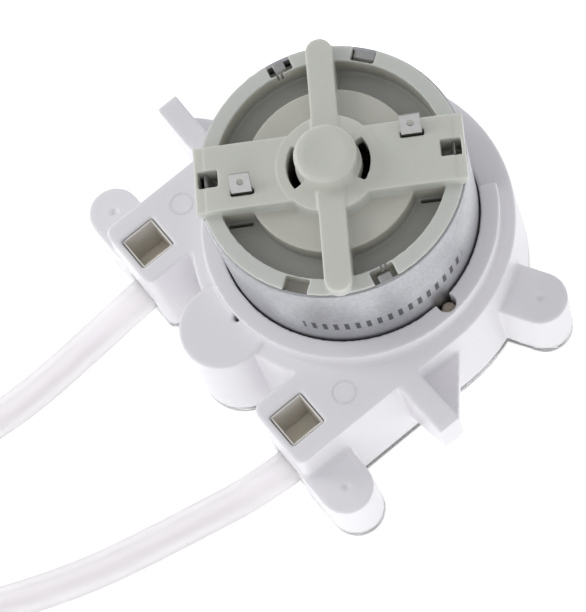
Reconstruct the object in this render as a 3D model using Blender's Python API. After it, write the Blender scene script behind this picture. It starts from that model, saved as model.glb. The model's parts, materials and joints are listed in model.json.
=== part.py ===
"""Peristaltic pump with its motor on the back, as an assembly of named pieces.

Lengths and places are in millimetres until MM turns them into metres.
The motor's axis is the Z axis, z = 0 is the outer face of the front cover,
the tubes leave towards -Y, and the pump is symmetric about the plane x = 0.
"""
import math

import bmesh
import bpy
from mathutils import Matrix, Vector

MM = 0.001
FULL_TURN = 2.0 * math.pi

# ---------------------------------------------------------------- driving dimensions
COVER_THICKNESS = 1.4
HOUSING_BOTTOM = 1.5
FLANGE_TOP = 16.15
COLLAR_TOP = 18.6
BODY_RADIUS = 20.3
BODY_DRAFT = 0.6
ARM_INNER_X = 10.6
ARM_END_Y = -24.2
ARM_CORNER = 1.2

BOSS_Y = -20.45
BOSS_RADIUS = 5.5
BOSS_TOP = 16.5
POST_TOP = 10.7
POST_RADIUS = 3.4
ARM_POST = (24.15, -21.2)
SIDE_POST = (21.2, 12.05)

CHAMBER_RADIUS = 17.3
CHAMBER_TOP = 11.3
CEILING_TOP = 13.3
CHANNEL_WIDTH = 4.8
CHANNEL_TOP = 6.35
TALL_CHANNEL_TOP = 7.4
POCKET_SIDE = 4.97
POCKET_CENTRE = (15.3, -20.83)
CLAMP_FLOOR = 9.0
CLAMP_GAP = 0.15
CLAMP_WALL = 0.2
CLAMP_DROP = 0.4
PILOT_RADIUS = 0.95
PILOT_TOP = 9.0

COLLAR_BOTTOM = 15.0
COLLAR_HALF_SPAN = 152.0
NOTCH_PLACE = (16.7, 1.8)
NOTCH_RADIUS = 1.2
NOTCH_FLOOR = 15.2
GATE_PLACE = (0.4, -18.3)
GATE_RADIUS = 0.55
GATE_FLOOR = 12.0

LUG_ROOT = 18.6
LUG_REACH = 28.45
LUG_CREST = 21.0
LUG_RISE = 1.3
LUG_SIDES = (-9.0, -6.0)
GUSSET_HEIGHTS = (10.0, 12.4)
ARM_WEB_X = 19.0
SIDE_WEB_SHARE = 0.8
FOOT_FLARE = 0.1
BOSS_FLARE = 0.4

MOTOR_RADIUS = 16.0
MOTOR_FRONT = 13.4
MOTOR_RIM = 33.0
COLLAR_OUTER = 18.5
MOTOR_GAP = 0.2
SHAFT_RADIUS = 1.0
BORE = 1.06
SNUG_BORE = 1.1
MOTOR_SCREW_Y = 8.0
CAN_INNER = 15.2
CAN_SEAT = 15.5
CAN_SEAT_Z = 28.8
BEARING_MOUTH = 3.15

GEAR_MODULE = 0.6
GEAR_PRESSURE = math.radians(25.0)
GEAR_THINNING = 0.10
SUN_TEETH = 10
PLANET_TEETH = 20
RING_TEETH = 50
GEAR_BOTTOM = 7.8
GEAR_TOP = 9.8
ORBIT = GEAR_MODULE * (SUN_TEETH + PLANET_TEETH) / 2.0
ROLLER_RADIUS = 6.0
ROLLER_BOTTOM = 2.7
ROLLER_TOP = 7.4
PLATE_RADIUS = 13.2
LOWER_PLATE = (1.7, 2.5)
UPPER_PLATE = (10.0, 11.0)
POST_ORBIT = 11.3

TUBE_RADIUS = 2.25
TUBE_CLEAR = 15.15
TUBE_OUTSIDE = 17.15
TUBE_X = 15.3
TUBE_MIDDLE = 4.5
TUBE_SPREAD = 0.45
TUBE_SIDES = 12

BELL_ANGLE = math.radians(56.0)
BELL_BOTTOM = 29.0
BELL_RIM_TOP = 33.55
BELL_LIP = 15.75
GROOVE_SIDES = (10.3, 13.8)
GROOVE_FLOOR = 30.6
DISC_TOP = 33.1
BAR_HALF_WIDTH = 4.15
BAR_TOP = 35.0
BAR_LENGTH = 29.2
CRIMP_NOTCHES = (166.0, 126.0, -54.0, -14.0)
TERMINAL_PLACES = ((10.0, 2.3), (-10.3, -2.2))
TERMINAL_LEAN = math.radians(-45.0)

MAGNET_SIDES = (12.95, 15.0)
MAGNET_HEIGHTS = (15.5, 27.0)
MAGNET_HALF_SPAN = 66.0
CORE_HUB = 4.4
CORE_NECK = 1.6
CORE_SHOE = 10.9
CORE_RADIUS = 12.4
CORE_HEIGHTS = (16.8, 24.8)
COMMUTATOR_RADIUS = 3.2

SHARP_ANGLE = math.radians(35.0)
MERGE_DISTANCE = 1e-3

SCREW_PLACES = (
    (ARM_POST[0], ARM_POST[1]),
    (-ARM_POST[0], ARM_POST[1]),
    (SIDE_POST[0], SIDE_POST[1]),
    (-SIDE_POST[0], SIDE_POST[1]),
    (0.0, BOSS_Y),
)

# name: (base colour, roughness, metallic)
FINISHES = {
    "white_plastic": ((0.86, 0.85, 0.87), 0.38, 0.0),
    "clear_plastic": ((0.88, 0.89, 0.92), 0.12, 0.0),
    "milky_nylon": ((0.77, 0.79, 0.73), 0.35, 0.0),
    "natural_plastic": ((0.90, 0.88, 0.80), 0.40, 0.0),
    "grey_plastic": ((0.45, 0.46, 0.48), 0.45, 0.0),
    "silicone": ((0.90, 0.84, 0.85), 0.45, 0.0),
    "steel": ((0.62, 0.63, 0.64), 0.28, 1.0),
    "zinc_steel": ((0.66, 0.67, 0.69), 0.35, 1.0),
    "dark_steel": ((0.20, 0.21, 0.23), 0.45, 1.0),
    "ferrite": ((0.07, 0.07, 0.075), 0.60, 0.0),
    "copper": ((0.72, 0.36, 0.20), 0.30, 1.0),
    "bronze": ((0.60, 0.42, 0.22), 0.40, 1.0),
    "brass": ((0.80, 0.62, 0.30), 0.30, 1.0),
}


# ---------------------------------------------------------------- scene and objects
def clear_scene():
    """Remove every object, so that the script can be run again."""
    for item in list(bpy.data.objects):
        bpy.data.objects.remove(item, do_unlink=True)


def make_material(name, finish):
    """Make one piece's own Principled material from a named finish."""
    colour, roughness, metallic = FINISHES[finish]
    material = bpy.data.materials.new(name + "_material")
    material.use_nodes = True
    shader = material.node_tree.nodes["Principled BSDF"]
    shader.inputs["Base Color"].default_value = (*colour, 1.0)
    shader.inputs["Roughness"].default_value = roughness
    shader.inputs["Metallic"].default_value = metallic
    material.diffuse_color = (*colour, 1.0)
    return material


def link_mesh(name, mesh_data):
    """Put a mesh into the scene as an object."""
    item = bpy.data.objects.new(name, mesh_data)
    bpy.context.scene.collection.objects.link(item)
    return item


def from_bmesh(name, shape):
    """Turn a bmesh into an object that faces outward, still in millimetres."""
    bmesh.ops.remove_doubles(shape, verts=shape.verts, dist=MERGE_DISTANCE)
    bmesh.ops.recalc_face_normals(shape, faces=shape.faces)
    data = bpy.data.meshes.new(name)
    shape.to_mesh(data)
    shape.free()
    return link_mesh(name, data)


def give_finish(item, finish):
    """Give a piece its own material and smooth its round faces."""
    item.data.materials.clear()
    item.data.materials.append(make_material(item.name, finish))
    item.data.shade_smooth()
    item.data.set_sharp_from_angle(angle=SHARP_ANGLE)
    return item


def finish_piece(item, finish):
    """Turn a piece drawn in millimetres into metres and give it its finish."""
    item.data.transform(Matrix.Scale(MM, 4))
    return give_finish(item, finish)


def combine(target, tools, operation, solver="EXACT"):
    """Apply a Boolean of each tool to the target and remove the tools."""
    for tool in tools:
        tool.hide_render = True
        tool.display_type = "WIRE"
        step = target.modifiers.new(operation.lower(), "BOOLEAN")
        step.operation = operation
        step.solver = solver
        step.object = tool
    graph = bpy.context.evaluated_depsgraph_get()
    result = bpy.data.meshes.new_from_object(target.evaluated_get(graph))
    target.modifiers.clear()
    target.data = result
    for tool in tools:
        bpy.data.objects.remove(tool, do_unlink=True)
    return target


def join(target, *tools, solver="EXACT"):
    """Unite the tools with the target."""
    return combine(target, tools, "UNION", solver)


def cut(target, *tools, solver="EXACT"):
    """Cut the tools out of the target."""
    return combine(target, tools, "DIFFERENCE", solver)


def copy_of(item, name, finish):
    """Copy a finished piece under a new name, with its own material."""
    return give_finish(link_mesh(name, item.data.copy()), finish)


def mirrored(item, name, finish):
    """Copy a finished piece to the other side of the plane x = 0."""
    shape = bmesh.new()
    shape.from_mesh(item.data)
    bmesh.ops.scale(shape, vec=(-1.0, 1.0, 1.0), verts=shape.verts)
    bmesh.ops.reverse_faces(shape, faces=shape.faces)
    data = bpy.data.meshes.new(name)
    shape.to_mesh(data)
    shape.free()
    return give_finish(link_mesh(name, data), finish)


# ---------------------------------------------------------------- outlines
def arc(centre, radius, start, end, steps):
    """Points on an arc, both ends included; angles are in degrees."""
    points = []
    for step in range(steps + 1):
        angle = math.radians(start + (end - start) * step / steps)
        points.append((centre[0] + radius * math.cos(angle), centre[1] + radius * math.sin(angle)))
    return points


def circle(radius, centre=(0.0, 0.0), steps=72):
    """Points once around a circle."""
    return arc(centre, radius, 0.0, 360.0, steps)[:-1]


def stadium(start, end, radius, steps=12):
    """The outline of a disc swept from one centre to another."""
    heading = math.degrees(math.atan2(end[1] - start[1], end[0] - start[0]))
    points = arc(end, radius, heading - 90.0, heading + 90.0, steps)
    points += arc(start, radius, heading + 90.0, heading + 270.0, steps)
    return points


def body_outline(draft):
    """The pump body seen from above: a disc with two arms towards -Y."""
    radius = BODY_RADIUS + draft
    inner = ARM_INNER_X - 0.5 * draft
    end = ARM_END_Y - 0.5 * draft
    corner = ARM_CORNER
    between = math.degrees(math.acos(inner / radius))
    points = arc((0.0, 0.0), radius, 0.0, 180.0, 36)
    points += arc((-radius + corner, end + corner), corner, 180.0, 270.0, 4)
    points += arc((-inner - corner, end + corner), corner, 270.0, 360.0, 4)
    points += arc((0.0, 0.0), radius, 180.0 + between, 360.0 - between, 14)
    points += arc((inner + corner, end + corner), corner, 180.0, 270.0, 4)
    points += arc((radius - corner, end + corner), corner, 270.0, 360.0, 4)
    return points


def involute(angle):
    """The involute function of a pressure angle."""
    return math.tan(angle) - angle


def gear_outline(teeth, above, below, thinning, steps=3):
    """An involute gear with one tooth centred at angle 0, in millimetres."""
    pitch = teeth * GEAR_MODULE / 2.0
    base = pitch * math.cos(GEAR_PRESSURE)
    tip = pitch + above
    root = pitch - below
    thickness = math.pi / (2 * teeth) - thinning / (2.0 * pitch) + involute(GEAR_PRESSURE)

    def half_angle(radius):
        if radius <= base:
            return thickness
        return thickness - involute(math.acos(base / radius))

    low = max(root, base)
    radii = [low + (tip - low) * step / (steps - 1) for step in range(steps)]
    if root < base:
        radii.insert(0, root)
    flanks = [(radius, -1.0) for radius in radii] + [(radius, 1.0) for radius in reversed(radii)]
    points = []
    for tooth in range(teeth):
        centre = FULL_TURN * tooth / teeth
        for radius, side in flanks:
            angle = centre + side * half_angle(radius)
            points.append((radius * math.cos(angle), radius * math.sin(angle)))
    return points


def turned(points, degrees):
    """Rotate an outline about the Z axis."""
    spin = Matrix.Rotation(math.radians(degrees), 2)
    return [tuple(spin @ Vector(point)) for point in points]


def shifted(points, offset):
    """Move an outline."""
    return [(x + offset[0], y + offset[1]) for x, y in points]


# ---------------------------------------------------------------- solids
def loft(name, layers):
    """Skin a closed solid over (height, outline) layers with equal point counts."""
    shape = bmesh.new()
    rings = []
    for height, outline in layers:
        rings.append([shape.verts.new((x, y, height)) for x, y in outline])
    count = len(rings[0])
    for lower, upper in zip(rings, rings[1:]):
        for index in range(count):
            after = (index + 1) % count
            shape.faces.new((lower[index], lower[after], upper[after], upper[index]))
    shape.faces.new(list(reversed(rings[0])))
    shape.faces.new(rings[-1])
    return from_bmesh(name, shape)


def prism(name, outline, bottom, top):
    """Extrude an outline straight up."""
    return loft(name, [(bottom, outline), (top, outline)])


def cylinder(name, radius, bottom, top, centre=(0.0, 0.0), steps=32):
    """A straight cylinder along Z."""
    return prism(name, circle(radius, centre, steps), bottom, top)


def block(name, centre, size, bottom, top, degrees=0.0):
    """A box along Z, turned about the Z axis through the origin."""
    half_x = size[0] / 2.0
    half_y = size[1] / 2.0
    corners = [(half_x, half_y), (-half_x, half_y), (-half_x, -half_y), (half_x, -half_y)]
    return prism(name, turned(shifted(corners, centre), degrees), bottom, top)


def lathe(name, profile, steps=72, closed=False, centre=(0.0, 0.0)):
    """Spin a (radius, height) profile about a vertical axis."""
    shape = bmesh.new()
    corners = [shape.verts.new((radius, 0.0, height)) for radius, height in profile]
    edges = [shape.edges.new(pair) for pair in zip(corners, corners[1:])]
    if closed:
        edges.append(shape.edges.new((corners[-1], corners[0])))
    bmesh.ops.spin(
        shape,
        geom=corners + edges,
        cent=(0.0, 0.0, 0.0),
        axis=(0.0, 0.0, 1.0),
        angle=FULL_TURN,
        steps=steps,
        use_duplicate=False,
    )
    bmesh.ops.translate(shape, vec=(centre[0], centre[1], 0.0), verts=shape.verts)
    return from_bmesh(name, shape)


def ring(name, inner, outer, bottom, top, steps=72):
    """A flat ring about the Z axis."""
    corners = [(inner, bottom), (outer, bottom), (outer, top), (inner, top)]
    return lathe(name, corners, steps, closed=True)


def sector(name, inner, outer, bottom, top, middle, half_span, steps):
    """A piece of a ring, spanning equal angles both sides of its middle."""
    outline = arc((0.0, 0.0), outer, middle - half_span, middle + half_span, steps)
    outline += arc((0.0, 0.0), inner, middle + half_span, middle - half_span, steps)
    return prism(name, outline, bottom, top)


def wall_prism(name, outline, near, far):
    """Extrude an (x, z) outline along Y."""
    shape = bmesh.new()
    front = [shape.verts.new((x, near, z)) for x, z in outline]
    back = [shape.verts.new((x, far, z)) for x, z in outline]
    count = len(outline)
    for index in range(count):
        after = (index + 1) % count
        shape.faces.new((front[index], front[after], back[after], back[index]))
    shape.faces.new(list(reversed(front)))
    shape.faces.new(back)
    return from_bmesh(name, shape)


# ---------------------------------------------------------------- rear housing
def post_loft(name, inner, outer, radius, bottom, top):
    """A round post whose web reaches in to the body, wider at its foot."""
    foot = stadium(inner, outer, radius + FOOT_FLARE)
    head = stadium(inner, outer, radius)
    return loft(name, [(bottom, foot), (top, head)])


def hook_lug(side):
    """The raised rib and its gusset plate, on one side of the body."""
    run = LUG_REACH - LUG_CREST
    seat = FLANGE_TOP - 0.05
    rib_side = [(LUG_ROOT, 5.0), (20.6, 5.0), (24.4, 7.4), (LUG_REACH, 11.2)]
    for step in range(7):
        reach = LUG_REACH - run * step / 6
        rib_side.append((reach, seat + LUG_RISE * ((reach - LUG_CREST) / run) ** 1.6))
    rib_side.append((LUG_ROOT, seat))
    tip = LUG_REACH - 0.25
    plate = [(LUG_ROOT, 0.6), (20.2, 0.2), (tip, -6.6), (tip, -7.8), (LUG_ROOT, -7.8)]
    rib_outline = [(side * x, z) for x, z in rib_side]
    plate_outline = [(side * x, y) for x, y in plate]
    rib = wall_prism("rib", rib_outline, *LUG_SIDES)
    gusset = prism("gusset", plate_outline, *GUSSET_HEIGHTS)
    return [rib, gusset]


def make_rear_housing():
    """The moulded body that holds the rotor, the tube and the motor."""
    bottom = HOUSING_BOTTOM
    body = loft("rear_housing", [(bottom, body_outline(BODY_DRAFT)), (FLANGE_TOP, body_outline(0.0))])
    boss_foot = circle(BOSS_RADIUS + BOSS_FLARE, (0.0, BOSS_Y), 36)
    boss_head = circle(BOSS_RADIUS, (0.0, BOSS_Y), 36)
    solids = [loft("boss", [(bottom, boss_foot), (BOSS_TOP, boss_head)])]
    for side in (-1.0, 1.0):
        arm_root = (side * ARM_WEB_X, ARM_POST[1])
        arm_tip = (side * ARM_POST[0], ARM_POST[1])
        solids.append(post_loft("arm_post", arm_root, arm_tip, POST_RADIUS, bottom, POST_TOP))
        side_root = (side * SIDE_POST[0] * SIDE_WEB_SHARE, SIDE_POST[1] * SIDE_WEB_SHARE)
        side_tip = (side * SIDE_POST[0], SIDE_POST[1])
        solids.append(post_loft("side_post", side_root, side_tip, POST_RADIUS, bottom, POST_TOP))
        solids += hook_lug(side)
    inner = CEILING_TOP + 1.0
    span = COLLAR_HALF_SPAN
    solids.append(sector("collar", inner, COLLAR_OUTER, COLLAR_BOTTOM, COLLAR_TOP, 270.0, span, 64))
    join(body, *solids)

    recess = MOTOR_RADIUS + MOTOR_GAP
    cuts = [
        cylinder("motor_well", recess, CEILING_TOP, COLLAR_TOP + 2.0, steps=72),
        cylinder("chamber", CHAMBER_RADIUS, bottom - 1.0, CHAMBER_TOP, steps=72),
        cylinder("bearing_hole", 3.2, CHAMBER_TOP - 1.0, CEILING_TOP + 1.0),
        cylinder("gate_mark", GATE_RADIUS, GATE_FLOOR, BOSS_TOP + 1.0, GATE_PLACE, 16),
        cylinder("collar_notch", NOTCH_RADIUS, NOTCH_FLOOR, COLLAR_TOP + 1.0, NOTCH_PLACE, 20),
    ]
    for side in (-1.0, 1.0):
        low = (side * TUBE_X, -14.5)
        high = (side * TUBE_X, -8.5)
        cuts.append(block("channel", low, (CHANNEL_WIDTH, 24.0), bottom - 1.0, CHANNEL_TOP))
        cuts.append(block("tall_channel", high, (CHANNEL_WIDTH, 13.0), bottom - 1.0, TALL_CHANNEL_TOP))
        pocket = (side * POCKET_CENTRE[0], POCKET_CENTRE[1])
        cuts.append(block("pocket", pocket, (POCKET_SIDE, POCKET_SIDE), CHANNEL_TOP - 0.5, 18.0))
        hole = [(0.0, CHAMBER_TOP - 0.5), (2.0, CHAMBER_TOP - 0.5), (2.0, CHAMBER_TOP + 0.1)]
        hole += [(1.1, CHAMBER_TOP + 1.0), (1.1, CEILING_TOP + 0.5), (0.0, CEILING_TOP + 0.5)]
        cuts.append(lathe("motor_screw_hole", hole, 16, centre=(0.0, side * MOTOR_SCREW_Y)))
    for place in SCREW_PLACES:
        cuts.append(cylinder("pilot", PILOT_RADIUS, bottom - 1.0, PILOT_TOP, place, 14))
    cut(body, *cuts)
    return finish_piece(body, "white_plastic")


# ---------------------------------------------------------------- front cover and screws
def make_front_cover():
    """The clear plate that closes the rotor chamber."""
    top = COVER_THICKNESS
    cover = prism("front_cover", body_outline(BODY_DRAFT), 0.0, top)
    solids = [cylinder("boss_foot", BOSS_RADIUS + BOSS_FLARE, 0.0, top, (0.0, BOSS_Y), 36)]
    for side in (-1.0, 1.0):
        foot = POST_RADIUS + FOOT_FLARE
        arm_root = (side * ARM_WEB_X, ARM_POST[1])
        arm_foot = stadium(arm_root, (side * ARM_POST[0], ARM_POST[1]), foot)
        solids.append(prism("arm_foot", arm_foot, 0.0, top))
        side_root = (side * SIDE_POST[0] * SIDE_WEB_SHARE, SIDE_POST[1] * SIDE_WEB_SHARE)
        side_foot = stadium(side_root, (side * SIDE_POST[0], SIDE_POST[1]), foot)
        solids.append(prism("side_foot", side_foot, 0.0, top))
    solids.append(cylinder("spigot", 1.6, top - 0.5, 2.4, steps=24))
    join(cover, *solids)
    for place in SCREW_PLACES:
        sink = [(0.0, -0.5), (2.0, -0.5), (2.0, 0.1), (0.95, 1.15), (0.95, 2.0), (0.0, 2.0)]
        cut(cover, lathe("sink", sink, 16, centre=place))
    return finish_piece(cover, "clear_plastic")


def make_screw(name, head_bottom, head_radius, shank_radius, tip):
    """A countersunk screw with a cross recess, its head facing -Z."""
    profile = [
        (0.0, head_bottom),
        (head_radius, head_bottom),
        (head_radius, head_bottom + 0.1),
        (shank_radius, head_bottom + 0.1 + head_radius - shank_radius),
        (shank_radius, tip - 0.6),
        (shank_radius * 0.4, tip),
        (0.0, tip),
    ]
    screw = lathe(name, profile, 14)
    slots = []
    for degrees in (0.0, 90.0):
        size = (head_radius * 1.1, head_radius * 0.24)
        slots.append(block("slot", (0.0, 0.0), size, head_bottom - 1.0, head_bottom + 0.5, degrees))
    return cut(screw, *slots)


def make_screws():
    """Five cover screws and the two that hold the motor."""
    first = make_screw("cover_screw_1", 0.05, 1.8, 0.8, 8.2)
    finish_piece(first, "steel")
    for number, place in enumerate(SCREW_PLACES, start=1):
        screw = first
        if number > 1:
            screw = copy_of(first, "cover_screw_%d" % number, "steel")
        screw.location = (place[0] * MM, place[1] * MM, 0.0)
    upper = make_screw("motor_screw_1", CHAMBER_TOP + 0.1, 1.85, 0.85, 15.2)
    finish_piece(upper, "steel")
    lower = copy_of(upper, "motor_screw_2", "steel")
    upper.location = (0.0, MOTOR_SCREW_Y * MM, 0.0)
    lower.location = (0.0, -MOTOR_SCREW_Y * MM, 0.0)


# ---------------------------------------------------------------- tube
def tube_stations():
    """Centre, heading and half sizes of the squeezed tube inside the pump, from -X to +X."""
    straight = [(-22.0, 3.87, 0.0), (-17.0, 3.9, 0.0), (-13.0, 4.0, 0.0), (-10.0, 4.2, 0.0)]
    straight += [(-8.0, 4.3, 0.15), (-6.0, 4.45, 0.55), (-4.0, 4.5, 1.0), (-2.0, 4.5, 1.0)]
    round_radius = TUBE_RADIUS
    flat_half = (TUBE_OUTSIDE - TUBE_CLEAR) / 2.0
    flat_x = TUBE_CLEAR + flat_half
    stations = []
    for y, z, flat in straight:
        x = TUBE_X + (flat_x - TUBE_X) * flat
        half = round_radius + (flat_half - round_radius) * flat
        tall = round_radius + TUBE_SPREAD * flat
        stations.append(((-x, y, z), 90.0, half, tall))
    for step in range(25):
        heading = 90.0 - 180.0 * step / 24
        side = math.radians(heading + 90.0)
        centre = (flat_x * math.cos(side), flat_x * math.sin(side), TUBE_MIDDLE)
        stations.append((centre, heading, flat_half, round_radius + TUBE_SPREAD))
    for (x, y, z), _, half, tall in reversed(stations[: len(straight)]):
        stations.append(((-x, y, z), -90.0, half, tall))
    return stations


def make_pump_tube():
    """The length of tube that the rollers squeeze against the chamber wall."""
    shape = bmesh.new()
    rings = []
    for centre, heading, half, tall in tube_stations():
        sideways = math.radians(heading + 90.0)
        across = Vector((math.cos(sideways), math.sin(sideways), 0.0))
        ring_points = []
        for x, y in circle(1.0, steps=TUBE_SIDES):
            place = Vector(centre) + across * (x * half) + Vector((0.0, 0.0, y * tall))
            ring_points.append(shape.verts.new(place))
        rings.append(ring_points)
    for lower, upper in zip(rings, rings[1:]):
        for index in range(TUBE_SIDES):
            after = (index + 1) % TUBE_SIDES
            shape.faces.new((lower[index], lower[after], upper[after], upper[index]))
    shape.faces.new(rings[0])
    shape.faces.new(rings[-1])
    return finish_piece(from_bmesh("pump_tube", shape), "silicone")


LEFT_ROUTE = [
    (-15.3, -22.3, 3.87), (-15.4, -26.0, 3.75), (-15.5, -33.0, 2.4), (-15.1, -40.0, 2.27),
    (-15.0, -45.0, 2.27), (-15.3, -50.0, 2.27), (-16.4, -60.0, 2.27), (-18.9, -71.0, 2.27),
    (-23.0, -82.0, 2.27), (-28.8, -92.5, 2.27), (-36.0, -101.5, 2.27), (-44.0, -109.0, 2.27),
]
RIGHT_ROUTE = [
    (15.35, -22.3, 3.87), (15.2, -26.2, 3.75), (14.2, -31.5, 2.55), (13.1, -36.4, 2.27),
    (11.5, -43.6, 2.27), (9.8, -50.4, 2.27), (7.6, -57.0, 2.27), (5.0, -63.3, 2.27),
    (2.2, -70.3, 2.27), (0.2, -77.5, 2.27), (-0.4, -85.0, 2.27), (0.8, -92.5, 2.27),
    (3.8, -99.5, 2.27), (8.4, -105.7, 2.27), (14.0, -111.0, 2.27),
]


def smooth_route(route, spacing):
    """Evenly spaced points on a Catmull-Rom curve through the route's points."""
    points = [Vector(point) for point in route]
    ends = [points[0] * 2.0 - points[1]] + points + [points[-1] * 2.0 - points[-2]]
    fine = []
    for before, start, end, after in zip(ends, ends[1:], ends[2:], ends[3:]):
        for step in range(20):
            t = step / 20.0
            even = start * 2.0 + (end - before) * t
            even += (before * 2.0 - start * 5.0 + end * 4.0 - after) * t * t
            even += (start * 3.0 - before - end * 3.0 + after) * t * t * t
            fine.append(even * 0.5)
    fine.append(points[-1])
    lengths = [0.0]
    for start, end in zip(fine, fine[1:]):
        lengths.append(lengths[-1] + (end - start).length)
    count = max(2, round(lengths[-1] / spacing))
    result = []
    for number in range(count + 1):
        goal = lengths[-1] * number / count
        index = min(range(len(fine)), key=lambda place: abs(lengths[place] - goal))
        result.append(fine[index])
    return result


def make_tube_tail(name, route):
    """A free end of the tube, lying on the surface that the pump stands on."""
    points = smooth_route(route, TUBE_RADIUS * 2.0 * 1.6)
    data = bpy.data.curves.new(name, "CURVE")
    data.dimensions = "3D"
    data.bevel_depth = TUBE_RADIUS * MM
    data.bevel_resolution = 2
    data.use_fill_caps = True
    spline = data.splines.new("POLY")
    spline.points.add(len(points) - 1)
    for target, point in zip(spline.points, points):
        target.co = (*(point * MM), 1.0)
    item = link_mesh(name, data)
    item.data.materials.append(make_material(name, "silicone"))
    return item


def make_tube_clamp():
    """The cup-shaped pads pushed into the pockets to hold the tube down."""
    side = POCKET_SIDE - 2.0 * CLAMP_GAP
    hollow = side - 2.0 * CLAMP_WALL
    centre = POCKET_CENTRE
    pad = block("tube_clamp_right", centre, (side, side), CHANNEL_TOP - 0.05, FLANGE_TOP - CLAMP_DROP)
    cut(pad, block("hollow", centre, (hollow, hollow), CLAMP_FLOOR, FLANGE_TOP + 1.0))
    finish_piece(pad, "natural_plastic")
    mirrored(pad, "tube_clamp_left", "natural_plastic")


# ---------------------------------------------------------------- gearing and rotor
def make_ring_gear():
    """The toothed ring fixed above the tube."""
    outer = cylinder("ring_gear", TUBE_OUTSIDE, 7.6, GEAR_TOP, steps=72)
    module = GEAR_MODULE
    space = gear_outline(RING_TEETH, 1.1 * module, 0.8 * module, -GEAR_THINNING)
    cut(outer, prism("space", turned(space, 180.0 / RING_TEETH), 7.0, GEAR_TOP + 1.0))
    return finish_piece(outer, "natural_plastic")


def make_sun_pinion():
    """The pinion on the motor's shaft."""
    outline = gear_outline(SUN_TEETH, 0.8 * GEAR_MODULE, 1.1 * GEAR_MODULE, GEAR_THINNING)
    pinion = prism("sun_pinion", outline, GEAR_BOTTOM - 0.1, GEAR_TOP + 0.1)
    cut(pinion, cylinder("bore", SNUG_BORE, 5.0, 12.0, steps=24))
    return finish_piece(pinion, "brass")


def make_planets():
    """Three rollers, each one piece with its planet gear, on their own axes."""
    profile = [(0.0, ROLLER_BOTTOM), (5.7, ROLLER_BOTTOM), (ROLLER_RADIUS, ROLLER_BOTTOM + 0.3)]
    profile += [(ROLLER_RADIUS, ROLLER_TOP - 0.3), (5.7, ROLLER_TOP), (4.8, ROLLER_TOP)]
    profile += [(4.8, GEAR_BOTTOM + 0.8), (0.0, GEAR_BOTTOM + 0.8)]
    outline = gear_outline(PLANET_TEETH, 0.8 * GEAR_MODULE, 1.1 * GEAR_MODULE, GEAR_THINNING)
    first = lathe("planet_roller_1", profile, 36)
    join(first, prism("gear", outline, GEAR_BOTTOM, GEAR_TOP))
    cut(first, cylinder("bore", BORE, 1.0, 12.0, steps=24))
    finish_piece(first, "grey_plastic")
    for number in range(3):
        planet = first
        if number > 0:
            planet = copy_of(first, "planet_roller_%d" % (number + 1), "grey_plastic")
        turn = 120.0 * number
        angle = math.radians(turn)
        planet.location = (ORBIT * math.cos(angle) * MM, ORBIT * math.sin(angle) * MM, 0.0)
        planet.rotation_euler = (0.0, 0.0, math.radians(1.5 * turn + 9.0))


def make_carrier():
    """The two plates and three pins that carry the rollers round."""
    axis = bpy.data.objects.new("carrier_axis", None)
    bpy.context.scene.collection.objects.link(axis)
    lower = cylinder("carrier_lower_plate", PLATE_RADIUS, *LOWER_PLATE, steps=60)
    upper = cylinder("carrier_upper_plate", PLATE_RADIUS, *UPPER_PLATE, steps=60)
    lower_cuts = [cylinder("centre", 1.68, 1.0, 3.0, steps=24)]
    upper_cuts = [cylinder("centre", 1.4, 9.0, 12.0, steps=24)]
    posts = []
    for number in range(3):
        angle = math.radians(120.0 * number)
        pin_place = (ORBIT * math.cos(angle), ORBIT * math.sin(angle))
        post_angle = angle + math.radians(60.0)
        post_place = (POST_ORBIT * math.cos(post_angle), POST_ORBIT * math.sin(post_angle))
        lower_cuts.append(cylinder("pin_hole", SNUG_BORE, 1.0, 3.0, pin_place, 20))
        upper_cuts.append(cylinder("pin_hole", SNUG_BORE, 9.0, 12.0, pin_place, 20))
        lower_cuts.append(cylinder("snap_hole", 1.0, 1.0, 3.0, post_place, 16))
        profile = [(0.0, 1.8), (0.9, 1.8), (0.9, 2.65), (1.6, 2.65), (1.6, 10.5), (0.0, 10.5)]
        posts.append(lathe("post", profile, 20, centre=post_place))
        pin = cylinder("roller_pin_%d" % (number + 1), SHAFT_RADIUS, 1.8, 10.9, steps=20)
        finish_piece(pin, "steel")
        pin.location = (pin_place[0] * MM, pin_place[1] * MM, 0.0)
        pin.parent = axis
    join(upper, *posts)
    cut(lower, *lower_cuts)
    cut(upper, *upper_cuts)
    for plate in (lower, upper):
        finish_piece(plate, "white_plastic")
        plate.parent = axis


# ---------------------------------------------------------------- motor
def make_motor_can():
    """The deep drawn steel can with its bearing and screw holes."""
    front = MOTOR_FRONT
    wall = MOTOR_RADIUS
    profile = [(BEARING_MOUTH, front), (wall - 0.6, front), (wall, front + 0.6), (wall, MOTOR_RIM)]
    profile += [(CAN_SEAT, MOTOR_RIM), (CAN_SEAT, CAN_SEAT_Z), (CAN_INNER, CAN_SEAT_Z - 0.3)]
    profile += [(CAN_INNER, front + 0.8), (BEARING_MOUTH, front + 0.8)]
    can = lathe("motor_can", profile, 72, closed=True)
    holes = [cylinder("hole", 1.0, 12.0, 15.0, (0.0, side * MOTOR_SCREW_Y), 20) for side in (-1.0, 1.0)]
    cut(can, *holes)
    return finish_piece(can, "zinc_steel")


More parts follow.
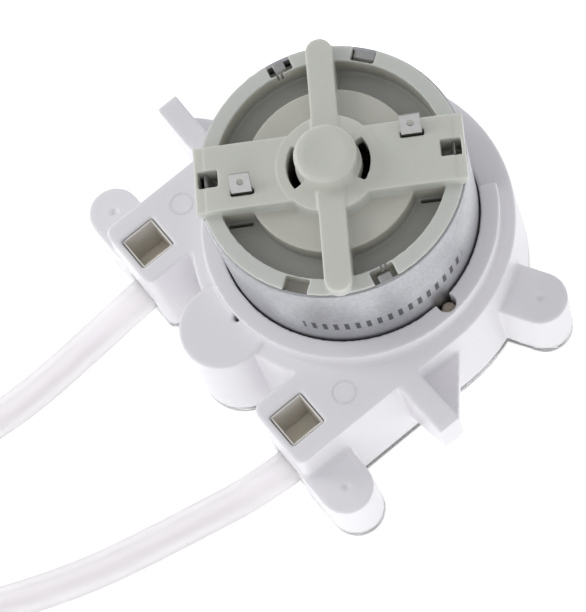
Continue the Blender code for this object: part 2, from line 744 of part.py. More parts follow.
def make_end_bell():
    """The moulded end of the motor, with its cross bars and bearing boss."""
    degrees = math.degrees(BELL_ANGLE)
    rim = BELL_RIM_TOP
    lip = MOTOR_RIM + 0.12
    inner, outer = GROOVE_SIDES
    profile = [(0.0, BELL_BOTTOM), (15.35, BELL_BOTTOM), (15.35, lip), (BELL_LIP, lip), (BELL_LIP, rim)]
    profile += [(outer, rim), (outer, GROOVE_FLOOR), (inner, GROOVE_FLOOR), (inner, DISC_TOP)]
    profile.append((0.0, DISC_TOP))
    bell = lathe("end_bell", profile, 60)
    width = 2.0 * BAR_HALF_WIDTH
    boss = [(0.0, 34.0), (3.75, 34.0), (3.7, 37.7), (3.3, 38.2), (2.5, 38.3), (1.5, 38.15), (0.0, 38.05)]
    tips = 2.0 * 15.9
    rib = turned(stadium((-14.4, 0.0), (14.4, 0.0), 1.6), degrees + 90.0)
    join(
        bell,
        block("bar", (0.0, 0.0), (BAR_LENGTH, width), 30.0, BAR_TOP, degrees),
        block("bar_tips", (0.0, 0.0), (tips, width), 33.2, BAR_TOP - 0.1, degrees),
        block("rib_foot", (0.0, 0.0), (3.1, 28.3), 29.6, 33.9, degrees),
        prism("rib", rib, 33.2, BAR_TOP + 0.3),
        cylinder("hub", 6.1, 32.0, BAR_TOP + 0.1, steps=48),
        lathe("boss", boss, 32),
        solver="MANIFOLD",
    )
    cuts = [
        cylinder("commutator_room", 5.2, 28.0, 33.4, steps=40),
        cylinder("bearing_room", 2.6, 33.0, 36.6),
        cylinder("shaft_room", 1.2, 36.0, 37.2, steps=24),
    ]
    for side in (0.0, 180.0):
        cuts.append(sector("slot", 3.9, 4.95, 33.0, 36.0, degrees + side, 34.0, 10))
        cuts.append(block("window", (14.3, 0.0), (2.4, 2.1), 31.6, 36.0, degrees + side))
        foot = (math.copysign(11.4, 90.0 - side), -BAR_HALF_WIDTH - 0.35)
        cuts.append(block("foot_slot", foot, (3.0, 0.4), 28.0, 31.5, degrees))
    for notch in CRIMP_NOTCHES:
        cuts.append(block("notch", (15.0, 0.0), (2.2, 2.9), 31.8, 34.0, notch))
    for place in TERMINAL_PLACES:
        cuts.append(block("terminal_slot", place, (2.8, 0.8), 28.0, 36.0, degrees))
    cut(bell, *cuts, solver="MANIFOLD")
    return finish_piece(bell, "milky_nylon")


def make_terminals():
    """The two solder tabs and the leaf brushes that they feed."""
    degrees = math.degrees(BELL_ANGLE)
    for number, place in enumerate(TERMINAL_PLACES, start=1):
        tab_side = [(-0.2, 28.1), (0.2, 28.1), (0.2, 35.2), (1.7, 36.7), (1.42, 36.98), (-0.2, 35.37)]
        tab = wall_prism("terminal_%d" % number, tab_side, -1.2, 1.2)
        hole = cylinder("hole", 0.42, -1.0, 1.0, steps=12)
        hole.data.transform(Matrix.Rotation(TERMINAL_LEAN, 4, "Y"))
        hole.data.transform(Matrix.Translation((0.85, 0.0, 36.12)))
        cut(tab, hole)
        tab.data.transform(Matrix.Rotation(math.radians(90.0), 4, "Z"))
        tab.data.transform(Matrix.Translation((place[0], place[1], 0.0)))
        tab.data.transform(Matrix.Rotation(BELL_ANGLE, 4, "Z"))
        finish_piece(tab, "steel")
        side = math.copysign(1.0, place[0])
        leaf = [(0.0, 3.35), (0.0, 3.55), (6.6, 3.55), (8.4, 1.3), (10.2, 1.3), (10.2, 1.1), (8.3, 1.1)]
        leaf += [(6.5, 3.35)]
        outline = turned([(side * x, side * y) for x, y in leaf], degrees)
        brush = prism("brush_%d" % number, outline, 27.0, 28.7)
        finish_piece(brush, "bronze")


def make_motor_inside():
    """Magnets and bearings, which stay still in the can."""
    for number in (1, 2):
        middle = math.degrees(BELL_ANGLE) + 90.0 + 180.0 * number
        span = MAGNET_HALF_SPAN
        magnet = sector("magnet_%d" % number, *MAGNET_SIDES, *MAGNET_HEIGHTS, middle, span, 26)
        finish_piece(magnet, "ferrite")
    front = [(BORE, 11.7), (2.95, 11.7), (2.95, 14.5), (BORE, 14.5)]
    finish_piece(lathe("front_bearing", front, 24, closed=True), "bronze")
    rear = [(BORE, 33.8), (2.45, 33.8), (2.45, 36.4), (BORE, 36.4)]
    finish_piece(lathe("rear_bearing", rear, 24, closed=True), "bronze")


def core_outline():
    """A three pole lamination: hub, necks and wide pole shoes."""
    points = []
    for pole in range(3):
        middle = 120.0 * pole
        neck = math.degrees(math.asin(CORE_NECK / CORE_HUB))
        points += arc((0.0, 0.0), CORE_HUB, middle - 60.0, middle - neck, 3)
        inner = math.degrees(math.asin(CORE_NECK / CORE_SHOE))
        points += arc((0.0, 0.0), CORE_SHOE, middle - inner, middle - 47.0, 5)
        points += arc((0.0, 0.0), CORE_RADIUS, middle - 50.0, middle + 50.0, 14)
        points += arc((0.0, 0.0), CORE_SHOE, middle + 47.0, middle + inner, 5)
        points += arc((0.0, 0.0), CORE_HUB, middle + neck, middle + 60.0, 3)[:-1]
    return points


def make_armature():
    """Everything on the motor's shaft, which turns as one piece."""
    shaft_profile = [(0.0, 2.9), (0.8, 2.9), (SHAFT_RADIUS, 3.1)]
    shaft_profile += [(SHAFT_RADIUS, 36.8), (0.8, 37.0), (0.0, 37.0)]
    shaft = lathe("motor_shaft", shaft_profile, 24)
    finish_piece(shaft, "steel")
    core = prism("armature_core", core_outline(), *CORE_HEIGHTS)
    cut(core, cylinder("bore", SNUG_BORE, 10.0, 30.0, steps=24))
    finish_piece(core, "dark_steel")
    for pole in range(3):
        coil = block("winding_%d" % (pole + 1), (7.4, 0.0), (4.8, 8.2), 15.9, 25.7, 120.0 * pole)
        cut(coil, block("neck", (7.6, 0.0), (9.0, 3.5), 16.65, 24.95, 120.0 * pole))
        finish_piece(coil, "copper")
    commutator = ring("commutator", SNUG_BORE, COMMUTATOR_RADIUS, 26.3, 32.6, 36)
    slots = []
    for pole in range(3):
        slots.append(block("gap", (COMMUTATOR_RADIUS, 0.0), (1.0, 0.35), 26.8, 34.0, 60.0 + 120.0 * pole))
    cut(commutator, *slots)
    finish_piece(commutator, "copper")
    washer = ring("shaft_washer", SNUG_BORE, 2.3, 11.15, 11.5, 24)
    finish_piece(washer, "natural_plastic")


def main():
    """Build every piece of the pump."""
    clear_scene()
    make_rear_housing()
    make_front_cover()
    make_screws()
    make_pump_tube()
    make_tube_tail("tube_tail_left", LEFT_ROUTE)
    make_tube_tail("tube_tail_right", RIGHT_ROUTE)
    make_tube_clamp()
    make_ring_gear()
    make_sun_pinion()
    make_planets()
    make_carrier()
    make_motor_can()
    make_end_bell()
    make_terminals()
    make_motor_inside()
    make_armature()


main()
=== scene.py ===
"""Studio scene of a small peristaltic pump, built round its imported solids.

The pump stands on its clear front cover with the motor upwards. Lengths in the
classes below are millimetres; MM turns them into the metres that Blender uses.
"""
from __future__ import annotations

import json
import logging
import math
from dataclasses import dataclass
from enum import Enum
from typing import Dict, Iterable, List, Optional, Sequence, Tuple

import bmesh
import bpy
from mathutils import Matrix, Vector

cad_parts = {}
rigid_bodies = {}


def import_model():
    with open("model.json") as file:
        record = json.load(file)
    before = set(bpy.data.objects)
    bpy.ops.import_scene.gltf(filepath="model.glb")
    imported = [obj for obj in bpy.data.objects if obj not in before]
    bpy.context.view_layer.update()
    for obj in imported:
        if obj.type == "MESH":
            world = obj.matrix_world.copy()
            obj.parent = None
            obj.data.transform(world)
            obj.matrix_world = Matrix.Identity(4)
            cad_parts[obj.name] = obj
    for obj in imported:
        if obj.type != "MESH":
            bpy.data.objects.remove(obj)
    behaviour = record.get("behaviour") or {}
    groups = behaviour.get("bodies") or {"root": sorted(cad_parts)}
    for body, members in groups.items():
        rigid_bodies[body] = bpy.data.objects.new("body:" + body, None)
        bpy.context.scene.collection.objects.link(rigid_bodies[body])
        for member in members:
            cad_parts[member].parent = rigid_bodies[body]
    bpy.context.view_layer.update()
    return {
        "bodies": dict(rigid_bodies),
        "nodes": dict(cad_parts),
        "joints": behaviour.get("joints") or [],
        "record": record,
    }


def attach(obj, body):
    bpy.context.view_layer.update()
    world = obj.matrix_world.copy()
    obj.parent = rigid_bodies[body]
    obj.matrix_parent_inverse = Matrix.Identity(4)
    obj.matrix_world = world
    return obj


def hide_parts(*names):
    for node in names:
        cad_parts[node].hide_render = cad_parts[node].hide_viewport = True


MM = 0.001
HOUSING = "housing"

WELD = 0.001
CLOUD_SCALE = 90.0
CLOUD_CONTRAST = 1.6
FINE_CONTRAST = 1.4
COAT_ROUGHNESS = 0.15
BUMP_STRENGTH = 0.35
FALLOFF = (1.0, 0.95, 0.9)
INK_COLOUR = (0.12, 0.12, 0.13, 1.0)

Colour = Tuple[float, float, float]
Pair = Tuple[float, float]
Point = Tuple[float, float, float]

log = logging.getLogger("pump")


class Pattern(Enum):
    """How a finish varies over its surface."""

    MOULDED = "moulded"
    SPUN = "spun"
    SINTERED = "sintered"


# ---------------------------------------------------------------- mesh helpers
def to_object(name: str, shape: bmesh.types.BMesh, scale: float = MM) -> bpy.types.Object:
    """Turn a bmesh into a linked object that faces outward.

    Args:
        name: the object's name.
        shape: the bmesh, which is freed.
        scale: what its coordinates are multiplied by.

    Returns:
        The new object.
    """
    bmesh.ops.remove_doubles(shape, verts=shape.verts, dist=WELD * MM / scale)
    bmesh.ops.recalc_face_normals(shape, faces=shape.faces)
    mesh = bpy.data.meshes.new(name)
    shape.to_mesh(mesh)
    shape.free()
    mesh.transform(Matrix.Scale(scale, 4))
    item = bpy.data.objects.new(name, mesh)
    bpy.context.scene.collection.objects.link(item)
    return item


def ring_points(radius: float, steps: int) -> List[Pair]:
    """Points once around a circle about the origin."""
    turn = 2.0 * math.pi / steps
    return [(radius * math.cos(turn * k), radius * math.sin(turn * k)) for k in range(steps)]


def turned(name: str, profile: Sequence[Pair], steps: int, centre: Pair = (0.0, 0.0)) -> bpy.types.Object:
    """Turn a closed (radius, height) profile about a vertical axis.

    Args:
        name: the object's name.
        profile: corners of the closed profile, none of them on the axis.
        steps: how many facets go round.
        centre: where the axis stands.

    Returns:
        The turned object.
    """
    shape = bmesh.new()
    columns = []
    for x, y in ring_points(1.0, steps):
        columns.append([shape.verts.new((centre[0] + r * x, centre[1] + r * y, z)) for r, z in profile])
    for column, following in zip(columns, columns[1:] + columns[:1]):
        for index in range(len(profile)):
            after = (index + 1) % len(profile)
            shape.faces.new((column[index], following[index], following[after], column[after]))
    return to_object(name, shape)


def extruded(name: str, outline: Sequence[Pair], low: float, high: float) -> bpy.types.Object:
    """Extrude an outline straight up between two heights.

    Args:
        name: the object's name.
        outline: its corners.
        low: height of its bottom.
        high: height of its top.

    Returns:
        The extruded object.
    """
    shape = bmesh.new()
    lower = [shape.verts.new((x, y, low)) for x, y in outline]
    upper = [shape.verts.new((x, y, high)) for x, y in outline]
    for index in range(len(outline)):
        after = (index + 1) % len(outline)
        shape.faces.new((lower[index], lower[after], upper[after], upper[index]))
    shape.faces.new(lower[::-1])
    shape.faces.new(upper)
    return to_object(name, shape)


def shade(item: bpy.types.Object, degrees: float = 40.0) -> None:
    """Smooth an object's faces, with edges sharper than an angle kept crisp."""
    item.data.shade_smooth()
    item.data.set_sharp_from_angle(angle=math.radians(degrees))


def settle(item: bpy.types.Object) -> None:
    """Turn an object's modifiers into its mesh.

    Args:
        item: the object.
    """
    graph = bpy.context.evaluated_depsgraph_get()
    result = bpy.data.meshes.new_from_object(item.evaluated_get(graph))
    item.modifiers.clear()
    item.data = result


def carve(item: bpy.types.Object, tools: Iterable[bpy.types.Object]) -> None:
    """Cut each tool out of an object and remove the tools.

    Args:
        item: the object.
        tools: what is cut out of it.
    """
    for tool in tools:
        step = item.modifiers.new("carve", "BOOLEAN")
        step.operation = "DIFFERENCE"
        step.solver = "EXACT"
        step.object = tool
        settle(item)
        bpy.data.objects.remove(tool, do_unlink=True)


@dataclass
class MouldedForm:
    """Rounds the edges of a solid as a mould does: fine remesh, smoothing, thinning.

    Attributes:
        voxel: size of the remesh grid.
        passes: rounds of smoothing, which set the edge radius.
        keep: share of the faces kept at the end.
    """

    voxel: float = 0.2
    passes: int = 6
    keep: float = 0.35

    def apply(self, item: bpy.types.Object) -> None:
        """Remesh, smooth and thin one object.

        Args:
            item: the object.
        """
        grid = item.modifiers.new("grid", "REMESH")
        grid.mode = "VOXEL"
        grid.voxel_size = self.voxel * MM
        soft = item.modifiers.new("soften", "SMOOTH")
        soft.factor = 0.5
        soft.iterations = self.passes
        thin = item.modifiers.new("thin", "DECIMATE")
        thin.ratio = self.keep
        settle(item)
        item.data.shade_smooth()


# ---------------------------------------------------------------- shader groups
class Effects:
    """Shader node groups that several finishes share, each built once."""

    def __init__(self) -> None:
        """Build every group."""
        self.mottle = self._noise_group("mottle", stretch=False)
        self.streak = self._noise_group("streak", stretch=True)

    @staticmethod
    def _noise_group(name: str, stretch: bool) -> bpy.types.NodeTree:
        """Build one noise group.

        Args:
            name: the group's name.
            stretch: True draws the noise out round the Z axis, as turning does.

        Returns:
            A group with Scale, Contrast in and Mask, Height out.
        """
        group = bpy.data.node_groups.new(name, "ShaderNodeTree")
        face = group.interface
        scale = face.new_socket(name="Scale", in_out="INPUT", socket_type="NodeSocketFloat")
        scale.default_value = 400.0
        contrast = face.new_socket(name="Contrast", in_out="INPUT", socket_type="NodeSocketFloat")
        contrast.default_value = 1.0
        face.new_socket(name="Mask", in_out="OUTPUT", socket_type="NodeSocketFloat")
        face.new_socket(name="Height", in_out="OUTPUT", socket_type="NodeSocketFloat")
        nodes = group.nodes
        links = group.links
        start = nodes.new("NodeGroupInput")
        end = nodes.new("NodeGroupOutput")
        place = nodes.new("ShaderNodeTexCoord")
        noise = nodes.new("ShaderNodeTexNoise")
        noise.inputs["Detail"].default_value = 4.0
        noise.inputs["Roughness"].default_value = 0.55
        vector = place.outputs["Object"]
        if stretch:
            vector = Effects._wrap_round_axis(group, vector)
        links.new(vector, noise.inputs["Vector"])
        links.new(start.outputs["Scale"], noise.inputs["Scale"])
        centre = nodes.new("ShaderNodeMath")
        centre.operation = "SUBTRACT"
        links.new(noise.outputs["Fac"], centre.inputs[0])
        centre.inputs[1].default_value = 0.5
        spread = nodes.new("ShaderNodeMath")
        spread.operation = "MULTIPLY"
        links.new(centre.outputs[0], spread.inputs[0])
        links.new(start.outputs["Contrast"], spread.inputs[1])
        back = nodes.new("ShaderNodeMath")
        back.operation = "ADD"
        back.use_clamp = True
        links.new(spread.outputs[0], back.inputs[0])
        back.inputs[1].default_value = 0.5
        links.new(back.outputs[0], end.inputs["Mask"])
        links.new(noise.outputs["Fac"], end.inputs["Height"])
        return group

    @staticmethod
    def _wrap_round_axis(group: bpy.types.NodeTree, vector: bpy.types.NodeSocket) -> bpy.types.NodeSocket:
        """Turn a place into (slow angle, height), so that noise runs round the axis.

        Args:
            group: the group's node tree.
            vector: the place.

        Returns:
            The turned place.
        """
        nodes = group.nodes
        links = group.links
        parts = nodes.new("ShaderNodeSeparateXYZ")
        links.new(vector, parts.inputs[0])
        angle = nodes.new("ShaderNodeMath")
        angle.operation = "ARCTAN2"
        links.new(parts.outputs["Y"], angle.inputs[0])
        links.new(parts.outputs["X"], angle.inputs[1])
        slow = nodes.new("ShaderNodeMath")
        slow.operation = "MULTIPLY"
        slow.inputs[1].default_value = 0.002
        links.new(angle.outputs[0], slow.inputs[0])
        join = nodes.new("ShaderNodeCombineXYZ")
        links.new(slow.outputs[0], join.inputs["X"])
        links.new(parts.outputs["Z"], join.inputs["Z"])
        return join.outputs[0]


@dataclass(frozen=True)
class InkMarks:
    """A row of plain ink ticks printed round a can.

    Attributes:
        low: height of their lower ends in millimetres.
        high: height of their upper ends.
        start: where the row starts, in degrees round the axis.
        end: where it ends.
        ticks: how many ticks a full turn would hold.
        duty: share of each step that is ink.
    """

    low: float = 22.0
    high: float = 24.0
    start: float = -56.0
    end: float = 24.0
    ticks: float = 76.0
    duty: float = 0.42

    def mask(self, tree: bpy.types.NodeTree) -> bpy.types.NodeSocket:
        """Build the nodes that are 1 on the ink and 0 elsewhere.

        Args:
            tree: the material's node tree.

        Returns:
            The mask.
        """
        place = tree.nodes.new("ShaderNodeTexCoord")
        parts = tree.nodes.new("ShaderNodeSeparateXYZ")
        tree.links.new(place.outputs["Object"], parts.inputs[0])
        turn = self._step(tree, "ARCTAN2", parts.outputs["Y"], parts.outputs["X"])
        count = self._step(tree, "MULTIPLY", turn, self.ticks / (2.0 * math.pi))
        share = self._step(tree, "FRACT", count, 0.0)
        height = parts.outputs["Z"]
        tests = [
            self._step(tree, "LESS_THAN", share, self.duty),
            self._step(tree, "GREATER_THAN", height, self.low * MM),
            self._step(tree, "LESS_THAN", height, self.high * MM),
            self._step(tree, "GREATER_THAN", turn, math.radians(self.start)),
            self._step(tree, "LESS_THAN", turn, math.radians(self.end)),
        ]
        mask = tests[0]
        for test in tests[1:]:
            mask = self._step(tree, "MULTIPLY", mask, test)
        return mask

    @staticmethod
    def _step(
        tree: bpy.types.NodeTree, operation: str, first: bpy.types.NodeSocket, second: object
    ) -> bpy.types.NodeSocket:
        """Add one math node.

        Args:
            tree: the material's node tree.
            operation: what the node works out.
            first: its first input.
            second: its second input, a socket or a number.

        Returns:
            The node's output.
        """
        node = tree.nodes.new("ShaderNodeMath")
        node.operation = operation
        tree.links.new(first, node.inputs[0])
        if isinstance(second, (int, float)):
            node.inputs[1].default_value = float(second)
        else:
            tree.links.new(second, node.inputs[1])
        return node.outputs[0]


@dataclass(frozen=True)
class Finish:
    """One material finish, made from a Principled shader and shared noise.

    Attributes:
        name: the material's name.
        colour: main colour.
        second: colour that the mottle drifts towards.
        roughness: mean roughness.
        spread: how far roughness drifts with the mottle.
        metallic: 0 or 1.
        subsurface: how far light soaks in, 0 to 1.
        depth: scattering depth in millimetres.
        transmission: share of light let through.
        coat: clear coat weight.
        bump: height of the fine texture in millimetres.
        grain: scale of the fine texture, per metre.
        pattern: how the surface varies.
        shade_by_height: tints by height in millimetres, a painted shade that darkens the bell towards its
            recess floor; it stands in for the shade in the recess and for the dark inside that the thin
            floor lets show.
        ink: printed marks, if it has any.
    """

    name: str
    colour: Colour
    second: Colour
    roughness: float
    spread: float = 0.05
    metallic: float = 0.0
    subsurface: float = 0.0
    depth: float = 1.5
    transmission: float = 0.0
    coat: float = 0.0
    bump: float = 0.01
    grain: float = 2500.0
    pattern: Pattern = Pattern.MOULDED
    shade_by_height: Tuple[Tuple[float, Colour], ...] = ()
    ink: Optional[InkMarks] = None

    def build(self, effects: Effects) -> bpy.types.Material:
        """Build the material.

        Args:
            effects: the shared shader groups.

        Returns:
            The finished material.
        """
        material = bpy.data.materials.new(self.name)
        material.use_nodes = True
        tree = material.node_tree
        shader = tree.nodes["Principled BSDF"]
        shader.inputs["Metallic"].default_value = self.metallic
        shader.inputs["Transmission Weight"].default_value = self.transmission
        shader.inputs["Coat Weight"].default_value = self.coat
        shader.inputs["Coat Roughness"].default_value = COAT_ROUGHNESS
        shader.inputs["Subsurface Weight"].default_value = self.subsurface
        shader.inputs["Subsurface Scale"].default_value = self.depth * MM
        shader.inputs["Subsurface Radius"].default_value = FALLOFF
        cloud = self._group(tree, effects.mottle, CLOUD_SCALE, CLOUD_CONTRAST)
        fine = self._group(tree, self._fine_group(effects), self.grain, FINE_CONTRAST)
        tint = tree.nodes.new("ShaderNodeMix")
        tint.data_type = "RGBA"
        tint.inputs[6].default_value = (*self.colour, 1.0)
        tint.inputs[7].default_value = (*self.second, 1.0)
        blend = tree.nodes.new("ShaderNodeMath")
        blend.operation = "MULTIPLY_ADD"
        blend.inputs[1].default_value = 0.5
        tree.links.new(cloud.outputs["Mask"], blend.inputs[0])
        half = tree.nodes.new("ShaderNodeMath")
        half.operation = "MULTIPLY"
        half.inputs[1].default_value = 0.5
        tree.links.new(fine.outputs["Mask"], half.inputs[0])
        tree.links.new(half.outputs[0], blend.inputs[2])
        tree.links.new(blend.outputs[0], tint.inputs[0])
        colour = self._printed(tree, self._shaded_by_height(tree, tint.outputs[2]))
        tree.links.new(colour, shader.inputs["Base Color"])
        rough = tree.nodes.new("ShaderNodeMapRange")
        rough.inputs["To Min"].default_value = self.roughness - self.spread
        rough.inputs["To Max"].default_value = self.roughness + self.spread
        tree.links.new(blend.outputs[0], rough.inputs["Value"])
        tree.links.new(rough.outputs[0], shader.inputs["Roughness"])
        bump = tree.nodes.new("ShaderNodeBump")
        bump.inputs["Strength"].default_value = BUMP_STRENGTH
        bump.inputs["Distance"].default_value = self.bump * MM
        tree.links.new(fine.outputs["Height"], bump.inputs["Height"])
        tree.links.new(bump.outputs[0], shader.inputs["Normal"])
        material.diffuse_color = (*self.colour, 1.0)
        return material

    def _printed(self, tree: bpy.types.NodeTree, colour: bpy.types.NodeSocket) -> bpy.types.NodeSocket:
        """Lay the ink marks over a colour, where the finish has any.

        Args:
            tree: the material's node tree.
            colour: the bare colour.

        Returns:
            The printed colour.
        """
        if self.ink is None:
            return colour
        ink = tree.nodes.new("ShaderNodeMix")
        ink.data_type = "RGBA"
        tree.links.new(self.ink.mask(tree), ink.inputs[0])
        tree.links.new(colour, ink.inputs[6])
        ink.inputs[7].default_value = INK_COLOUR
        return ink.outputs[2]

    def _shaded_by_height(self, tree: bpy.types.NodeTree, colour: bpy.types.NodeSocket) -> bpy.types.NodeSocket:
        """Multiply a colour by the painted shade for its height, where the finish has any.

        Args:
            tree: the material's node tree.
            colour: the even colour.

        Returns:
            The tinted colour.
        """
        if not self.shade_by_height:
            return colour
        # Painted shade: a ramp on the height darkens the colour towards the bell's recess floor.
        low = self.shade_by_height[0][0]
        high = self.shade_by_height[-1][0]
        place = tree.nodes.new("ShaderNodeTexCoord")
        parts = tree.nodes.new("ShaderNodeSeparateXYZ")
        share = tree.nodes.new("ShaderNodeMapRange")
        share.inputs["From Min"].default_value = low * MM
        share.inputs["From Max"].default_value = high * MM
        ramp = tree.nodes.new("ShaderNodeValToRGB")
        stops = ramp.color_ramp.elements
        for index, (height, tint) in enumerate(self.shade_by_height):
            stop = stops[index] if index < 2 else stops.new(1.0)
            stop.position = (height - low) / (high - low)
            stop.color = (*tint, 1.0)
        product = tree.nodes.new("ShaderNodeMix")
        product.data_type = "RGBA"
        product.blend_type = "MULTIPLY"
        product.inputs[0].default_value = 1.0
        tree.links.new(place.outputs["Object"], parts.inputs[0])
        tree.links.new(parts.outputs["Z"], share.inputs["Value"])
        tree.links.new(share.outputs[0], ramp.inputs["Fac"])
        tree.links.new(colour, product.inputs[6])
        tree.links.new(ramp.outputs["Color"], product.inputs[7])
        return product.outputs[2]

    def _fine_group(self, effects: Effects) -> bpy.types.NodeTree:
        """The shared group that gives the fine texture."""
        return effects.streak if self.pattern is Pattern.SPUN else effects.mottle

    @staticmethod
    def _group(
        tree: bpy.types.NodeTree, group: bpy.types.NodeTree, scale: float, contrast: float
    ) -> bpy.types.ShaderNodeGroup:
        """Place a shared group in a material with its own values.

        Args:
            tree: the material's node tree.
            group: the shared group.
            scale: how fine the noise is, per metre.
            contrast: how far the mask swings.

        Returns:
            The placed group.
        """
        node = tree.nodes.new("ShaderNodeGroup")
        node.node_tree = group
        node.inputs["Scale"].default_value = scale
        node.inputs["Contrast"].default_value = contrast
        return node


# Painted shade for the end bell: darker towards its recess floor, for the shade in the recess and the dark
# inside showing through the thin floor; the top faces keep nearly their own colour.
BELL_SHADE_BY_HEIGHT = (
    (30.7, (0.58, 0.58, 0.59)),
    (32.9, (0.82, 0.78, 0.74)),
    (33.4, (0.95, 0.97, 1.0)),
    (34.6, (1.0, 1.0, 1.0)),
)

FINISHES = (
    Finish("white_abs", (0.86, 0.85, 0.87), (0.83, 0.82, 0.845), 0.36, subsurface=0.25, depth=0.8, coat=0.1),
    Finish("clear_cover", (0.98, 0.98, 0.99), (0.97, 0.97, 0.98), 0.1, 0.03, transmission=0.95, bump=0.002),
    # The milky nylon carries the painted recess shade by height.
    Finish("milky_nylon", (0.66, 0.67, 0.61), (0.60, 0.61, 0.55), 0.34, subsurface=0.45, depth=1.0,
           coat=0.1, bump=0.012, shade_by_height=BELL_SHADE_BY_HEIGHT),
    Finish("clamp_acetal", (0.97, 0.93, 0.85), (0.94, 0.89, 0.80), 0.45, subsurface=0.6, depth=2.0),
    Finish("natural_acetal", (0.62, 0.54, 0.44), (0.54, 0.46, 0.36), 0.45, subsurface=0.2),
    Finish("grey_acetal", (0.42, 0.43, 0.46), (0.36, 0.37, 0.40), 0.42),
    Finish("silicone", (1.0, 0.985, 0.995), (0.99, 0.97, 0.985), 0.3, transmission=0.9, bump=0.006),
    Finish("bright_steel", (0.46, 0.46, 0.45), (0.36, 0.36, 0.36), 0.3, 0.08, metallic=1.0, bump=0.004),
    Finish("zinc_steel", (0.60, 0.605, 0.62), (0.33, 0.34, 0.36), 0.44, 0.12, metallic=1.0, bump=0.05,
           grain=1700.0, pattern=Pattern.SINTERED, ink=InkMarks()),
    Finish("laminated_steel", (0.16, 0.17, 0.19), (0.10, 0.10, 0.11), 0.45, metallic=1.0, bump=0.03,
           grain=2200.0, pattern=Pattern.SPUN),
    Finish("ferrite", (0.06, 0.06, 0.065), (0.09, 0.085, 0.08), 0.6, bump=0.03, pattern=Pattern.SINTERED),
    Finish("copper", (0.72, 0.36, 0.20), (0.55, 0.22, 0.10), 0.28, 0.08, metallic=1.0, bump=0.03,
           grain=1800.0, pattern=Pattern.SPUN),
    Finish("bronze", (0.55, 0.38, 0.20), (0.42, 0.28, 0.14), 0.4, metallic=1.0, bump=0.02,
           pattern=Pattern.SINTERED),
    Finish("brass", (0.78, 0.60, 0.28), (0.66, 0.48, 0.20), 0.28, metallic=1.0, pattern=Pattern.SPUN),
)


class Workshop:
    """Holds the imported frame, the finishes and the bookkeeping of pieces."""

    def __init__(self, frame: dict) -> None:
        """Keep the frame and build the finishes.
        """
        self.frame = frame
        effects = Effects()
        self.materials = {finish.name: finish.build(effects) for finish in FINISHES}

    def copy_solid(self, node: str, name: str) -> bpy.types.Object:
        """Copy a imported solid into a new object, with its split corners welded.

        Args:
            node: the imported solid's name.
            name: the new object's name.

        Returns:
            The copy, in metres.
        """
        shape = bmesh.new()
        shape.from_mesh(self.frame["nodes"][node].data)
        return to_object(name, shape, scale=1.0)

    def dress(self, item: bpy.types.Object, finish: str) -> None:
        """Give an object one finish."""
        item.data.materials.clear()
        item.data.materials.append(self.materials[finish])

    def fit(self, item: bpy.types.Object, finish: str, replaced: Sequence[str] = ()) -> None:
        """Dress a new piece and put it on the housing.

        Args:
            item: the piece.
            finish: its finish.
            replaced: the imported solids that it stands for.
        """
        self.dress(item, finish)
        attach(item, HOUSING)
        if replaced:
            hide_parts(*replaced)
        log.info("%s: %d faces, %s", item.name, len(item.data.polygons), finish)


